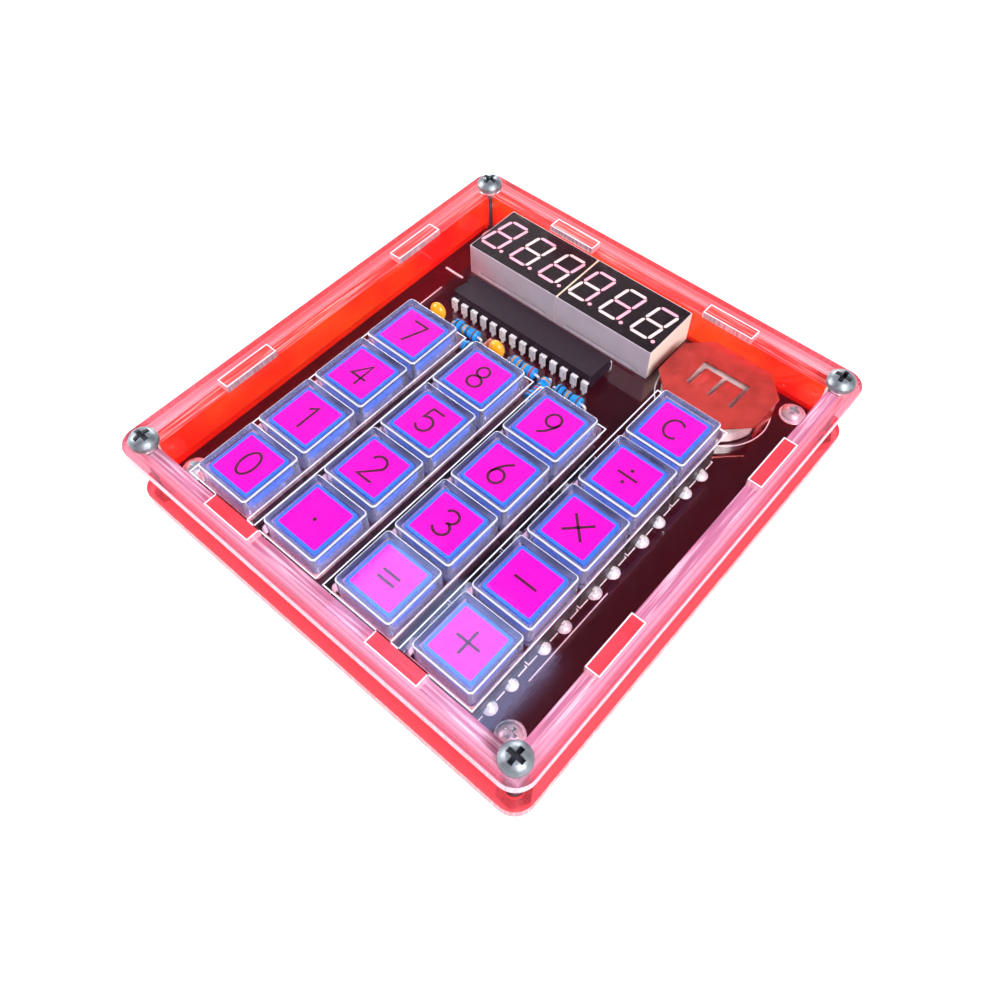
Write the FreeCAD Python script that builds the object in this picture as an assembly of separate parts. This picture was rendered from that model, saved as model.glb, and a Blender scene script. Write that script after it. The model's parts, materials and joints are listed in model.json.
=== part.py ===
"""Pocket calculator in a clear, screwed-together plastic case, in millimetres.

+X runs along a row of keys, +Y from the keys up to the display and +Z up through the
key tops. The origin is on the ground plane, under the centre of the case.
"""
import FreeCAD, Part
import math
import os

Vector = FreeCAD.Vector
UP = Vector(0, 0, 1)

# ---- Case ------------------------------------------------------------------------
case_width = 91.4             # X size of both plates
case_depth = 97.4             # Y size of both plates
plate_thickness = 2.5
plate_corner_radius = 3.8
wall_thickness = 2.5
wall_setback = 2.5            # plate edge to the outer face of a wall
tab_width_side = 11.4         # tabs on the left and right walls
tab_width_end = 10.6          # tabs on the front and back walls
tab_spacing_side = 44.0       # centre to centre of a side wall's two tabs
tab_spacing_end = 37.5
slot_clearance = 0.15         # all round a tab

# ---- Case screws and nuts (M3) ---------------------------------------------------
case_screw_inset = 3.85       # plate edge to screw axis
case_screw_length = 20.0      # under the head
case_screw_radius = 1.5
case_head_radius = 2.6
case_head_height = 2.0
case_nut_flats = 5.5
case_nut_height = 2.4
screw_hole_clearance = 0.15   # radial
wall_end_clearance = 0.25     # wall end to screw shank

# ---- Circuit board and its M2 fixings --------------------------------------------
board_thickness = 1.6
board_edge_clearance = 0.3    # board edge to the inner face of a wall
board_corner_radius = 1.0
board_screw_inset_x = 3.2     # board edge to screw axis
board_screw_inset_y = 2.9
board_screw_length = 8.0
board_screw_radius = 1.0
board_head_radius = 1.9
board_head_height = 1.3
board_nut_flats = 4.0
board_nut_height = 1.6
spacer_height = 1.8
spacer_radius = 2.0
thread_clearance = 0.03       # radial, nut bore to screw
lead_drop = 1.3               # how far leads stand out under the board

# ---- Keys ------------------------------------------------------------------------
key_pitch_x = 16.35
key_gap = 1.0                 # between the keys of one column
first_key_x = -23.25          # left column
key_front_margin = 0.9        # front row to the inner face of the front wall
key_columns = (("0", "1", "4", "7"),
               ("point", "2", "5", "8"),
               ("equals", "3", "6", "9"),
               ("plus", "minus", "times", "divide", "clear"))
cover_height = 4.8
cover_top = 1.1
cover_wall = 0.9
cover_corner_radius = 0.8
cover_edge_round = 0.35
card_gap = 0.12               # legend card between key base and cover
base_gap = 0.35               # key base to the inside of the cover
base_flange = 1.0
base_shell = 1.0
base_boss = 6.0
window_clearance = 0.6        # key cover to the edge of its window
window_corner_radius = 0.8

# ---- Tactile switches ------------------------------------------------------------
switch_size = 12.0            # the key covers are as wide as the switches
switch_housing_height = 3.4
switch_cover_thickness = 0.3
switch_height = 7.3           # board to plunger top
plunger_size = 3.8
plunger_entry = 0.7           # plunger top above the underside of the key base
plunger_fit = 0.02            # per side, in the key base
plunger_disc_radius = 3.1
plunger_disc_height = 0.8
plunger_rest_gap = 0.05       # disc to the underside of the cover plate
switch_cavity_radius = 3.4
switch_floor = 0.6
switch_cover_hole_radius = 2.85
rivet_radius = 0.6            # posts that hold the cover plate, one near each corner
rivet_height = 0.25
rivet_inset = 1.5
switch_pin_spacing_y = 5.0
switch_pin_thickness = 0.5
switch_pin_width = 0.8
switch_pin_rise = 1.4

# ---- Display: two modules of three digits ----------------------------------------
module_length = 22.5
module_depth = 13.7
module_height = 7.0
module_gap = 0.15
module_top_gap = 0.1          # module face to the underside of the top plate
display_left = -33.8          # left face of the left module
display_wall_clearance = 0.4  # module back to the inner face of the back wall
module_groove_height = 0.6
module_groove_depth = 0.7
module_groove_end = 2.4
module_pin_rows = 10.2
module_pins_per_row = 6
module_pin_radius = 0.25

# ---- Processor chip --------------------------------------------------------------
pin_pitch = 2.54
chip_pins_per_side = 14
chip_centre_x = -12.0
chip_to_display = 6.9         # chip centre to the display's front face
chip_width = 6.4
chip_height = 3.3
chip_standoff = 1.2
chip_row_spacing = 7.62
chip_pin_thickness = 0.25
chip_pin_shoulder = 1.4
chip_pin_tip = 0.5
chip_notch_radius = 0.8

# ---- Coin cell and its clip ------------------------------------------------------
cell_x = 24.1
cell_wall_clearance = 0.3     # cell rim to the inner face of the back wall
cell_radius = 10.0
cell_height = 3.2
cell_step_height = 0.5
cell_step_radius = 8.8
clip_thickness = 0.4
clip_stand = 0.9              # cell top to the clip's underside
clip_depth = 17.0
clip_chamfer = 4.4
clip_offset_y = 0.5           # clip centre behind the cell's centre
clip_side_gap = 0.15
clip_leg_width = 6.0
clip_window_width = 10.0
clip_window_depth = 6.7
finger_width = 3.6
finger_gap = 0.9
finger_tip_gap = 0.05         # finger tip to cell

# ---- Small parts -----------------------------------------------------------------
lead_radius = 0.28
lead_hole_clearance = 0.15
resistor_length = 5.8
resistor_radius = 1.0
resistor_end_radius = 1.2
resistor_end_length = 1.3
resistor_end_round = 0.3
resistor_lead_span = 7.62
# centre x, centre y, angle about Z in degrees
resistor_places = ((-22.3, 15.6, 0), (-21.2, 12.4, 0), (-7.6, 15.6, 0), (-1.9, 13.0, 90),
                   (3.6, 15.6, 0), (4.2, 12.4, 0))
diode_length = 3.8
diode_radius = 0.9
diode_lead_span = 5.08
diode_place = (-16.5, 14.7, 90)
capacitor_radius_x = 1.8
capacitor_radius_y = 1.25
capacitor_radius_z = 2.0
capacitor_lift = 0.9          # board to the bottom of the body
capacitor_lead_spacing = 2.54
capacitor_places = ((-29.0, 14.6), (-13.6, 14.6))

# ---- Levels and sizes worked out from the values above ---------------------------
wall_height = spacer_height + board_thickness + module_height + module_top_gap
plate_top_z = case_screw_length
top_plate_z = plate_top_z - plate_thickness
wall_z = top_plate_z - wall_height
bottom_plate_z = wall_z - plate_thickness
case_nut_z = bottom_plate_z - case_nut_height
board_z = wall_z + spacer_height
board_top_z = board_z + board_thickness
inner_half_x = case_width / 2 - wall_setback - wall_thickness
inner_half_y = case_depth / 2 - wall_setback - wall_thickness
board_half_x = inner_half_x - board_edge_clearance
board_half_y = inner_half_y - board_edge_clearance
case_screw_x = case_width / 2 - case_screw_inset
case_screw_y = case_depth / 2 - case_screw_inset
board_screw_x = board_half_x - board_screw_inset_x
board_screw_y = board_half_y - board_screw_inset_y
cover_size = switch_size
base_size = cover_size - 2 * cover_wall - 2 * base_gap
key_pitch_y = switch_size + key_gap
first_key_y = -inner_half_y + key_front_margin + cover_size / 2
plunger_top_z = board_top_z + switch_height
housing_top_z = board_top_z + switch_housing_height
switch_top_z = housing_top_z + switch_cover_thickness
base_bottom_z = plunger_top_z - plunger_entry
cover_z = base_bottom_z + base_flange
cover_top_z = cover_z + cover_height
base_top_z = cover_top_z - cover_top - card_gap
switch_pin_x = (switch_size + switch_pin_thickness) / 2
lead_bottom_z = board_z - lead_drop
cell_y = inner_half_y - cell_wall_clearance - cell_radius
clip_y = cell_y + clip_offset_y
cell_top_z = board_top_z + cell_height
clip_z = cell_top_z + clip_stand
chip_shoulder_z = board_top_z + chip_standoff + chip_height / 2
resistor_axis_z = board_top_z + resistor_end_radius + 0.1
display_front = inner_half_y - display_wall_clearance - module_depth
chip_centre_y = display_front - chip_to_display
module_lefts = (display_left, display_left + module_length + module_gap)


# ---- Shape helpers ---------------------------------------------------------------
def block(size_x, size_y, size_z, x=0.0, y=0.0, z=0.0):
    """A box centred on x and y that stands on z."""
    return Part.makeBox(size_x, size_y, size_z, Vector(x - size_x / 2, y - size_y / 2, z))


def rounded_block(size_x, size_y, size_z, radius, x=0.0, y=0.0, z=0.0):
    """A centred box with its upright edges rounded."""
    body = block(size_x, size_y, size_z, x, y, z)
    upright = [e for e in body.Edges if abs(e.tangentAt(e.FirstParameter).z) > 0.9]
    return body.makeFillet(radius, upright)


def cylinder(radius, height, x=0.0, y=0.0, z=0.0):
    return Part.makeCylinder(radius, height, Vector(x, y, z))


def polygon_prism(points, thickness):
    """Extrude a closed outline of 3-D points along its own normal vector."""
    return Part.Face(Part.makePolygon(points + points[:1])).extrude(thickness)


def hexagon_prism(flats, height, x, y, z):
    radius = flats / math.sqrt(3)
    corners = [Vector(x + radius * math.cos(math.radians(60 * i)),
                      y + radius * math.sin(math.radians(60 * i)), z) for i in range(6)]
    return polygon_prism(corners, Vector(0, 0, height))


def four_corners(x, y):
    return [(sx * x, sy * y) for sx in (-1, 1) for sy in (-1, 1)]


def group(shapes):
    return Part.makeCompound(list(shapes))


# ---- Case ------------------------------------------------------------------------
def key_places():
    """Every key's name and centre."""
    return [(name, first_key_x + column * key_pitch_x, first_key_y + row * key_pitch_y)
            for column, names in enumerate(key_columns) for row, name in enumerate(names)]


def tab_places():
    """Centre, size in X and size in Y of every wall tab."""
    side_x = inner_half_x + wall_thickness / 2
    end_y = inner_half_y + wall_thickness / 2
    sides = [(x, y, wall_thickness, tab_width_side)
             for x, y in four_corners(side_x, tab_spacing_side / 2)]
    ends = [(x, y, tab_width_end, wall_thickness)
            for x, y in four_corners(tab_spacing_end / 2, end_y)]
    return sides, ends


def plate(z):
    """A case plate with its slots for the wall tabs and its corner screw holes."""
    body = rounded_block(case_width, case_depth, plate_thickness, plate_corner_radius, z=z)
    sides, ends = tab_places()
    cuts = [block(dx + 2 * slot_clearance, dy + 2 * slot_clearance, plate_thickness, x, y, z)
            for x, y, dx, dy in sides + ends]
    cuts += [cylinder(case_screw_radius + screw_hole_clearance, plate_thickness, x, y, z)
             for x, y in four_corners(case_screw_x, case_screw_y)]
    return body.cut(cuts)


def top_plate():
    """Clear plate with one long window for each column of keys."""
    windows = []
    for column, names in enumerate(key_columns):
        length = (len(names) - 1) * key_pitch_y
        windows.append(rounded_block(
            cover_size + 2 * window_clearance, length + cover_size + 2 * window_clearance,
            plate_thickness, window_corner_radius,
            first_key_x + column * key_pitch_x, first_key_y + length / 2, top_plate_z))
    return plate(top_plate_z).cut(windows)


def bottom_plate():
    """Plate under the board, drilled for the board's own screws."""
    holes = [cylinder(board_screw_radius + screw_hole_clearance, plate_thickness, x, y,
                      bottom_plate_z) for x, y in four_corners(board_screw_x, board_screw_y)]
    return plate(bottom_plate_z).cut(holes)


def wall_with_tabs(length_x, length_y, x, y, tabs):
    """A wall between the plates; its tabs are as long as the plates are thick."""
    wall = block(length_x, length_y, wall_height, x, y, wall_z)
    tab_height = wall_height + 2 * plate_thickness
    return wall.fuse([block(dx, dy, tab_height, tx, ty, bottom_plate_z)
                      for tx, ty, dx, dy in tabs]).removeSplitter()


def walls():
    """Four walls that stop short of the corner screws."""
    sides, ends = tab_places()
    reach = case_screw_radius + wall_end_clearance
    side_length = 2 * min(case_screw_y - reach, inner_half_y)
    end_length = 2 * min(case_screw_x - reach, inner_half_x)
    side_x = inner_half_x + wall_thickness / 2
    end_y = inner_half_y + wall_thickness / 2
    return {
        "wall_left": wall_with_tabs(wall_thickness, side_length, -side_x, 0,
                                    [t for t in sides if t[0] < 0]),
        "wall_right": wall_with_tabs(wall_thickness, side_length, side_x, 0,
                                     [t for t in sides if t[0] > 0]),
        "wall_front": wall_with_tabs(end_length, wall_thickness, 0, -end_y,
                                     [t for t in ends if t[1] < 0]),
        "wall_back": wall_with_tabs(end_length, wall_thickness, 0, end_y,
                                    [t for t in ends if t[1] > 0]),
    }


# ---- Fasteners -------------------------------------------------------------------
def pan_head_screw(x, y, seat_z, length, radius, head_radius, head_height):
    """A cross-recess pan-head screw, seated at seat_z and pointing down."""
    side_height = 0.45 * head_height
    shoulder = Vector(head_radius, 0, side_height)
    crown = Vector(0, 0, head_height)
    bulge = Vector(0.72 * head_radius, 0, 0.84 * head_height)
    edges = [Part.LineSegment(Vector(0, 0, 0), Vector(head_radius, 0, 0)),
             Part.LineSegment(Vector(head_radius, 0, 0), shoulder),
             Part.Arc(shoulder, bulge, crown), Part.LineSegment(crown, Vector(0, 0, 0))]
    profile = Part.Face(Part.Wire([e.toShape() for e in edges]))
    head = profile.revolve(Vector(0, 0, 0), UP, 360)
    slot_width, slot_length, slot_depth = 0.34 * head_radius, 1.16 * head_radius, 0.6 * head_height
    slot = [block(slot_length, slot_width, head_height, z=head_height - slot_depth),
            block(slot_width, slot_length, head_height, z=head_height - slot_depth)]
    tip = 0.3 * radius
    shank = cylinder(radius, length - tip, z=tip - length)
    point = Part.makeCone(radius - tip, radius, tip, Vector(0, 0, -length))
    screw = head.cut(slot).fuse([shank, point]).removeSplitter()
    screw.translate(Vector(x, y, seat_z))
    return screw


def nut(x, y, z, flats, height, screw_radius):
    bore = cylinder(screw_radius + thread_clearance, height, x, y, z)
    return hexagon_prism(flats, height, x, y, z).cut(bore)


def case_fasteners():
    corners = four_corners(case_screw_x, case_screw_y)
    screws = [pan_head_screw(x, y, plate_top_z, case_screw_length, case_screw_radius,
                             case_head_radius, case_head_height) for x, y in corners]
    nuts = [nut(x, y, case_nut_z, case_nut_flats, case_nut_height, case_screw_radius)
            for x, y in corners]
    return {"case_screws": group(screws), "case_nuts": group(nuts)}


def board_fasteners():
    corners = four_corners(board_screw_x, board_screw_y)
    screws = [pan_head_screw(x, y, board_top_z, board_screw_length, board_screw_radius,
                             board_head_radius, board_head_height) for x, y in corners]
    nuts = [nut(x, y, bottom_plate_z - board_nut_height, board_nut_flats, board_nut_height,
                board_screw_radius) for x, y in corners]
    bore = board_screw_radius + screw_hole_clearance
    spacers = [cylinder(spacer_radius, spacer_height, x, y, wall_z)
               .cut(cylinder(bore, spacer_height, x, y, wall_z)) for x, y in corners]
    return {"board_screws": group(screws), "board_nuts": group(nuts),
            "board_spacers": group(spacers)}


# ---- Keys and switches -----------------------------------------------------------
def key_cover(x, y):
    """Clear lid over the legend card, with a skirt down to the base's flange."""
    lid = rounded_block(cover_size, cover_size, cover_height, cover_corner_radius, x, y, cover_z)
    rim = [e for e in lid.Edges if e.BoundBox.ZMin > cover_top_z - 1e-6]
    lid = lid.makeFillet(cover_edge_round, rim)
    inside = cover_size - 2 * cover_wall
    return lid.cut(block(inside, inside, cover_height - cover_top, x, y, cover_z))


def key_base(x, y):
    """Cap under the lid: a square shell, a flange and a boss that grips the plunger."""
    shell = block(base_size, base_size, base_top_z - base_bottom_z, x, y, base_bottom_z)
    hollow = base_size - 2 * base_shell
    shell = shell.cut(block(hollow, hollow, base_top_z - base_shell - base_bottom_z, x, y,
                            base_bottom_z))
    flange = rounded_block(cover_size, cover_size, base_flange, cover_corner_radius, x, y,
                           base_bottom_z)
    flange = flange.cut(block(hollow, hollow, base_flange, x, y, base_bottom_z))
    boss_z = switch_top_z + 0.6
    boss = block(base_boss, base_boss, base_top_z - boss_z, x, y, boss_z)
    socket = plunger_size + 2 * plunger_fit
    grip = block(socket, socket, plunger_top_z - boss_z, x, y, boss_z)
    return shell.fuse([flange, boss]).cut(grip).removeSplitter()


def plunger(x, y):
    """Square switch plunger on the round disc that keeps it in its housing."""
    disc_top_z = housing_top_z - plunger_rest_gap
    disc = cylinder(plunger_disc_radius, plunger_disc_height, x, y,
                    disc_top_z - plunger_disc_height)
    stem = block(plunger_size, plunger_size, plunger_top_z - disc_top_z, x, y, disc_top_z)
    return disc.fuse(stem)


def rivet_places(x, y):
    offset = switch_size / 2 - rivet_inset
    return [(x + dx, y + dy) for dx, dy in four_corners(offset, offset)]


def switch_housing(x, y):
    """Moulded box with a round cavity and four posts for the cover plate."""
    body = block(switch_size, switch_size, switch_housing_height, x, y, board_top_z)
    cavity = cylinder(switch_cavity_radius, switch_housing_height - switch_floor, x, y,
                      board_top_z + switch_floor)
    posts = [cylinder(rivet_radius, switch_cover_thickness + rivet_height, px, py,
                      housing_top_z) for px, py in rivet_places(x, y)]
    return body.cut(cavity).fuse(posts)


def switch_cover_plate(x, y):
    """Sheet-metal plate that closes a switch around its plunger."""
    body = block(switch_size, switch_size, switch_cover_thickness, x, y, housing_top_z)
    holes = [cylinder(rivet_radius, switch_cover_thickness, px, py, housing_top_z)
             for px, py in rivet_places(x, y)]
    holes.append(cylinder(switch_cover_hole_radius, switch_cover_thickness, x, y,
                          housing_top_z))
    return body.cut(holes)


def switch_pin_places(x, y):
    return [(x + dx, y + dy) for dx, dy in four_corners(switch_pin_x, switch_pin_spacing_y / 2)]


def switch_pin(x, y):
    height = board_top_z + switch_pin_rise - lead_bottom_z
    return block(switch_pin_thickness, switch_pin_width, height, x, y, lead_bottom_z)


def keys_and_switches():
    parts = {}
    places = key_places()
    for name, x, y in places:
        parts["key_%s_cover" % name] = key_cover(x, y)
        parts["key_%s_base" % name] = group([key_base(x, y), plunger(x, y)])
    parts["switch_housings"] = group(switch_housing(x, y) for _, x, y in places)
    parts["switch_cover_plates"] = group(switch_cover_plate(x, y) for _, x, y in places)
    parts["switch_pins"] = group(switch_pin(px, py) for _, x, y in places
                                 for px, py in switch_pin_places(x, y))
    return parts


# ---- Display ---------------------------------------------------------------------
def display_module(left):
    """Three-digit module with a shadow groove along the foot of its long faces."""
    x = left + module_length / 2
    y = display_front + module_depth / 2
    body = block(module_length, module_depth, module_height, x, y, board_top_z)
    groove_length = module_length - 2 * module_groove_end
    grooves = [block(groove_length, module_groove_depth, module_groove_height, x,
                     y + side * (module_depth - module_groove_depth) / 2,
                     board_top_z + module_groove_height) for side in (-1, 1)]
    return body.cut(grooves)


def display_pin_places():
    y = display_front + module_depth / 2
    first = -(module_pins_per_row - 1) / 2 * pin_pitch
    return [(left + module_length / 2 + first + i * pin_pitch, y + side * module_pin_rows / 2)
            for left in module_lefts for side in (-1, 1) for i in range(module_pins_per_row)]


def display():
    pins = [cylinder(module_pin_radius, board_top_z - lead_bottom_z, x, y, lead_bottom_z)
            for x, y in display_pin_places()]
    return {"display_module_left": display_module(module_lefts[0]),
            "display_module_right": display_module(module_lefts[1]),
            "display_pins": group(pins)}


# ---- Chip ------------------------------------------------------------------------
def chip_pin_places():
    first = chip_centre_x - (chip_pins_per_side - 1) / 2 * pin_pitch
    return [(first + i * pin_pitch, chip_centre_y + side * chip_row_spacing / 2)
            for side in (-1, 1) for i in range(chip_pins_per_side)]


def chip_body():
    """Moulded dual-in-line body, drafted top and bottom, with a notch at one end."""
    length = chip_pins_per_side * pin_pitch - 0.4
    draft = 0.25
    levels = ((board_top_z + chip_standoff, draft), (chip_shoulder_z, 0.0),
              (board_top_z + chip_standoff + chip_height, draft))
    rings = []
    for z, shrink in levels:
        half_x, half_y = length / 2 - shrink, chip_width / 2 - shrink
        corners = [Vector(chip_centre_x + sx * half_x, chip_centre_y + sy * half_y, z)
                   for sx, sy in ((-1, -1), (1, -1), (1, 1), (-1, 1))]
        rings.append(Part.makePolygon(corners + corners[:1]))
    body = Part.makeLoft(rings, True, True)
    notch = cylinder(chip_notch_radius, 0.5, chip_centre_x - length / 2 + draft, chip_centre_y,
                     board_top_z + chip_standoff + chip_height - 0.4)
    return body.cut(notch)


def chip_pin(x, y):
    """Pin that leaves the body at mid height, turns down and narrows at the board."""
    side = 1 if y > chip_centre_y else -1
    root_y = chip_centre_y + side * chip_width / 2
    outer_y = y + side * chip_pin_thickness / 2
    top_z = chip_shoulder_z + chip_pin_thickness / 2
    neck_z = board_top_z + chip_standoff / 2
    shoulder = block(chip_pin_shoulder, abs(outer_y - root_y), chip_pin_thickness, x,
                     (outer_y + root_y) / 2, top_z - chip_pin_thickness)
    blade = block(chip_pin_shoulder, chip_pin_thickness, top_z - neck_z, x, y, neck_z)
    tip = block(chip_pin_tip, chip_pin_thickness, neck_z - lead_bottom_z, x, y, lead_bottom_z)
    return shoulder.fuse([blade, tip]).removeSplitter()


def chip():
    return {"chip_body": chip_body(),
            "chip_pins": group(chip_pin(x, y) for x, y in chip_pin_places())}


# ---- Battery ---------------------------------------------------------------------
def battery_cell():
    """Coin cell: the smaller negative face sits on the board."""
    step = cylinder(cell_step_radius, cell_step_height, cell_x, cell_y, board_top_z)
    can = cylinder(cell_radius, cell_height - cell_step_height, cell_x, cell_y,
                   board_top_z + cell_step_height)
    return step.fuse(can).removeSplitter()


def clip_leg_places():
    offset = cell_radius + clip_side_gap + clip_thickness / 2
    return [(cell_x + side * offset, clip_y) for side in (-1, 1)]


def battery_clip():
    """Sheet-metal bridge over the cell with two spring fingers cut from its middle."""
    half_x = cell_radius + clip_side_gap + clip_thickness
    half_y = clip_depth / 2
    cut = clip_chamfer
    outline = [(-half_x + cut, -half_y), (half_x - cut, -half_y), (half_x, -half_y + cut),
               (half_x, half_y - cut), (half_x - cut, half_y), (-half_x + cut, half_y),
               (-half_x, half_y - cut), (-half_x, -half_y + cut)]
    sheet = polygon_prism([Vector(cell_x + x, clip_y + y, clip_z) for x, y in outline],
                          Vector(0, 0, clip_thickness))
    sheet = sheet.cut(block(clip_window_width, clip_window_depth, clip_thickness, cell_x,
                            clip_y, clip_z))
    root_y = clip_y - clip_window_depth / 2
    tip_y = root_y + clip_window_depth - finger_gap
    drop = clip_stand - finger_tip_gap
    side = [Vector(0, root_y - clip_thickness, clip_z), Vector(0, root_y, clip_z),
            Vector(0, tip_y, clip_z - drop), Vector(0, tip_y, clip_z - drop + clip_thickness),
            Vector(0, root_y, clip_z + clip_thickness),
            Vector(0, root_y - clip_thickness, clip_z + clip_thickness)]
    fingers = []
    for sign in (-1, 1):
        finger = polygon_prism(side, Vector(finger_width, 0, 0))
        finger.translate(Vector(cell_x + sign * (finger_width + finger_gap) / 2
                                - finger_width / 2, 0, 0))
        fingers.append(finger)
    legs = [block(clip_thickness, clip_leg_width, clip_z - board_top_z, x, y, board_top_z)
            for x, y in clip_leg_places()]
    legs += [block(clip_thickness, clip_leg_width / 4, board_top_z - lead_bottom_z, x, y,
                   lead_bottom_z) for x, y in clip_leg_places()]
    return sheet.fuse(fingers + legs).removeSplitter()


# ---- Small parts -----------------------------------------------------------------
def turned(shape, x, y, angle):
    """Turn a shape made at the origin about Z and move it into place."""
    shape.rotate(Vector(0, 0, 0), UP, angle)
    shape.translate(Vector(x, y, 0))
    return shape


def axial_lead_places(x, y, angle, span):
    turn = math.radians(angle)
    return [(x + side * span / 2 * math.cos(turn), y + side * span / 2 * math.sin(turn))
            for side in (-1, 1)]


def resistor_body(x, y, angle):
    """Film resistor: a cylinder with a fatter cap at each end."""
    start = Vector(-resistor_length / 2, 0, resistor_axis_z)
    along = Vector(1, 0, 0)
    middle = Part.makeCylinder(resistor_radius, resistor_length, start, along)
    caps = [Part.makeCylinder(resistor_end_radius, resistor_end_length,
                              start + along * offset, along)
            for offset in (0, resistor_length - resistor_end_length)]
    body = middle.fuse(caps).removeSplitter()
    end_x = resistor_length / 2
    sharp = [e for e in body.Edges if min(abs(e.BoundBox.XMin - end_x),
                                          abs(e.BoundBox.XMax + end_x)) < 1e-3]
    return turned(body.makeFillet(resistor_end_round, sharp), x, y, angle)


def diode_body(x, y, angle):
    start = Vector(-diode_length / 2, 0, board_top_z + diode_radius + 0.3)
    return turned(Part.makeCylinder(diode_radius, diode_length, start, Vector(1, 0, 0)),
                  x, y, angle)


def capacitor_body(x, y):
    """Dipped ceramic capacitor, an ellipsoid that stands on its leads."""
    matrix = FreeCAD.Matrix()
    matrix.scale(capacitor_radius_x, capacitor_radius_y, capacitor_radius_z)
    body = Part.makeSphere(1.0).transformGeometry(matrix)
    body.translate(Vector(x, y, board_top_z + capacitor_lift + capacitor_radius_z))
    return body


def axial_leads(x, y, angle, span, body_length, axis_z):
    """The two wires of a flat-lying part, each out of its end and down."""
    leads = []
    bend = 2 * lead_radius
    for side in (-1, 1):
        points = [Vector(side * body_length / 2, 0, axis_z),
                  Vector(side * (span / 2 - bend), 0, axis_z),
                  Vector(side * span / 2, 0, axis_z - bend),
                  Vector(side * span / 2, 0, lead_bottom_z)]
        middle = Vector(side * (span / 2 - bend * (1 - math.sqrt(0.5))), 0,
                        axis_z - bend * (1 - math.sqrt(0.5)))
        path = Part.Wire([Part.LineSegment(points[0], points[1]).toShape(),
                          Part.Arc(points[1], middle, points[2]).toShape(),
                          Part.LineSegment(points[2], points[3]).toShape()])
        section = Part.Wire(Part.Circle(points[0], Vector(side, 0, 0), lead_radius).toShape())
        leads.append(turned(path.makePipeShell([section], True, False), x, y, angle))
    return leads


def capacitor_lead_places(x, y):
    return [(x + side * capacitor_lead_spacing / 2, y) for side in (-1, 1)]


def capacitor_leads(x, y):
    """Two straight wires that end inside the dipped body's lower half."""
    body = capacitor_body(x, y)
    top_z = board_top_z + capacitor_lift + capacitor_radius_z
    return [cylinder(lead_radius, top_z - lead_bottom_z, px, py, lead_bottom_z).cut(body)
            for px, py in capacitor_lead_places(x, y)]


def small_parts():
    diode_z = board_top_z + diode_radius + 0.3
    leads = []
    for place in resistor_places:
        leads += axial_leads(*place, resistor_lead_span, resistor_length, resistor_axis_z)
    leads += axial_leads(*diode_place, diode_lead_span, diode_length, diode_z)
    for place in capacitor_places:
        leads += capacitor_leads(*place)
    return {"resistors": group(resistor_body(*p) for p in resistor_places),
            "diode": diode_body(*diode_place),
            "ceramic_capacitors": group(capacitor_body(*p) for p in capacitor_places),
            "component_leads": group(leads)}


# ---- Board -----------------------------------------------------------------------
def circuit_board():
    """Board drilled for its screws and for every lead that goes through it."""
    body = rounded_block(2 * board_half_x, 2 * board_half_y, board_thickness,
                         board_corner_radius, z=board_z)
    pin_diagonal = math.hypot(switch_pin_thickness, switch_pin_width) / 2
    drill = (
        (board_screw_radius + screw_hole_clearance, four_corners(board_screw_x, board_screw_y)),
        (pin_diagonal + lead_hole_clearance, [p for _, x, y in key_places()
                                              for p in switch_pin_places(x, y)]),
        (module_pin_radius + lead_hole_clearance, display_pin_places()),
        (chip_pin_tip / 2 + lead_hole_clearance, chip_pin_places()),
        (clip_leg_width / 8 + lead_hole_clearance, clip_leg_places()),
        (lead_radius + lead_hole_clearance, [p for r in resistor_places
                                             for p in axial_lead_places(*r, resistor_lead_span)]),
        (lead_radius + lead_hole_clearance, axial_lead_places(*diode_place, diode_lead_span)),
        (lead_radius + lead_hole_clearance, [p for c in capacitor_places
                                             for p in capacitor_lead_places(*c)]))
    holes = [cylinder(radius, board_thickness, x, y, board_z)
             for radius, places in drill for x, y in places]
    return body.cut(holes)


def build():
    parts = {"top_plate": top_plate(), "bottom_plate": bottom_plate(),
             "circuit_board": circuit_board(),
             "battery_cell": battery_cell(), "battery_clip": battery_clip()}
    for made in (walls(), case_fasteners(), board_fasteners(), keys_and_switches(),
                 display(), chip(), small_parts()):
        parts.update(made)
    return parts


def main():
    os.makedirs("parts", exist_ok=True)
    for name, shape in build().items():
        shape.exportStep(os.path.join("parts", name + ".step"))
        print("%-24s %3d solids  %9.1f mm3" % (name, len(shape.Solids), shape.Volume))


main()
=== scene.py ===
"""Looks of the pocket calculator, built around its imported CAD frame, in metres."""
import math
import random

import bmesh
import bpy
from mathutils import Matrix, Vector
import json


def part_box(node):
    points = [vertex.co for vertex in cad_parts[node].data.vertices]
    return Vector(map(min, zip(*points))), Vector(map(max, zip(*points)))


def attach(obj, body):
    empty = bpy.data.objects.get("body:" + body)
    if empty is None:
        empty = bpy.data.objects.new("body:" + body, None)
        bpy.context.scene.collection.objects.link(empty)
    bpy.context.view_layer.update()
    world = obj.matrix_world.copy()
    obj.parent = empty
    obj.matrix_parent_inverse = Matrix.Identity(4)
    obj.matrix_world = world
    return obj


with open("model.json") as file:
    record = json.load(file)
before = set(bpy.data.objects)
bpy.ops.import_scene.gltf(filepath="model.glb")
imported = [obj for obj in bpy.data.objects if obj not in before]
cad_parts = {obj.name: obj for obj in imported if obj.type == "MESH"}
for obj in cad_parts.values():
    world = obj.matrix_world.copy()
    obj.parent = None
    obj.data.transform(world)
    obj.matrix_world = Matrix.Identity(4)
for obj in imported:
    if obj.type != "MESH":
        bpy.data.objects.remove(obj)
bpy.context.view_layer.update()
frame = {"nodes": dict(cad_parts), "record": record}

MM = 0.001
COLUMNS = (("0", "1", "4", "7"), ("point", "2", "5", "8"), ("equals", "3", "6", "9"),
           ("plus", "minus", "times", "divide", "clear"))
KEYS = [name for column in COLUMNS for name in column]
MODULES = ("display_module_left", "display_module_right")


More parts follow.
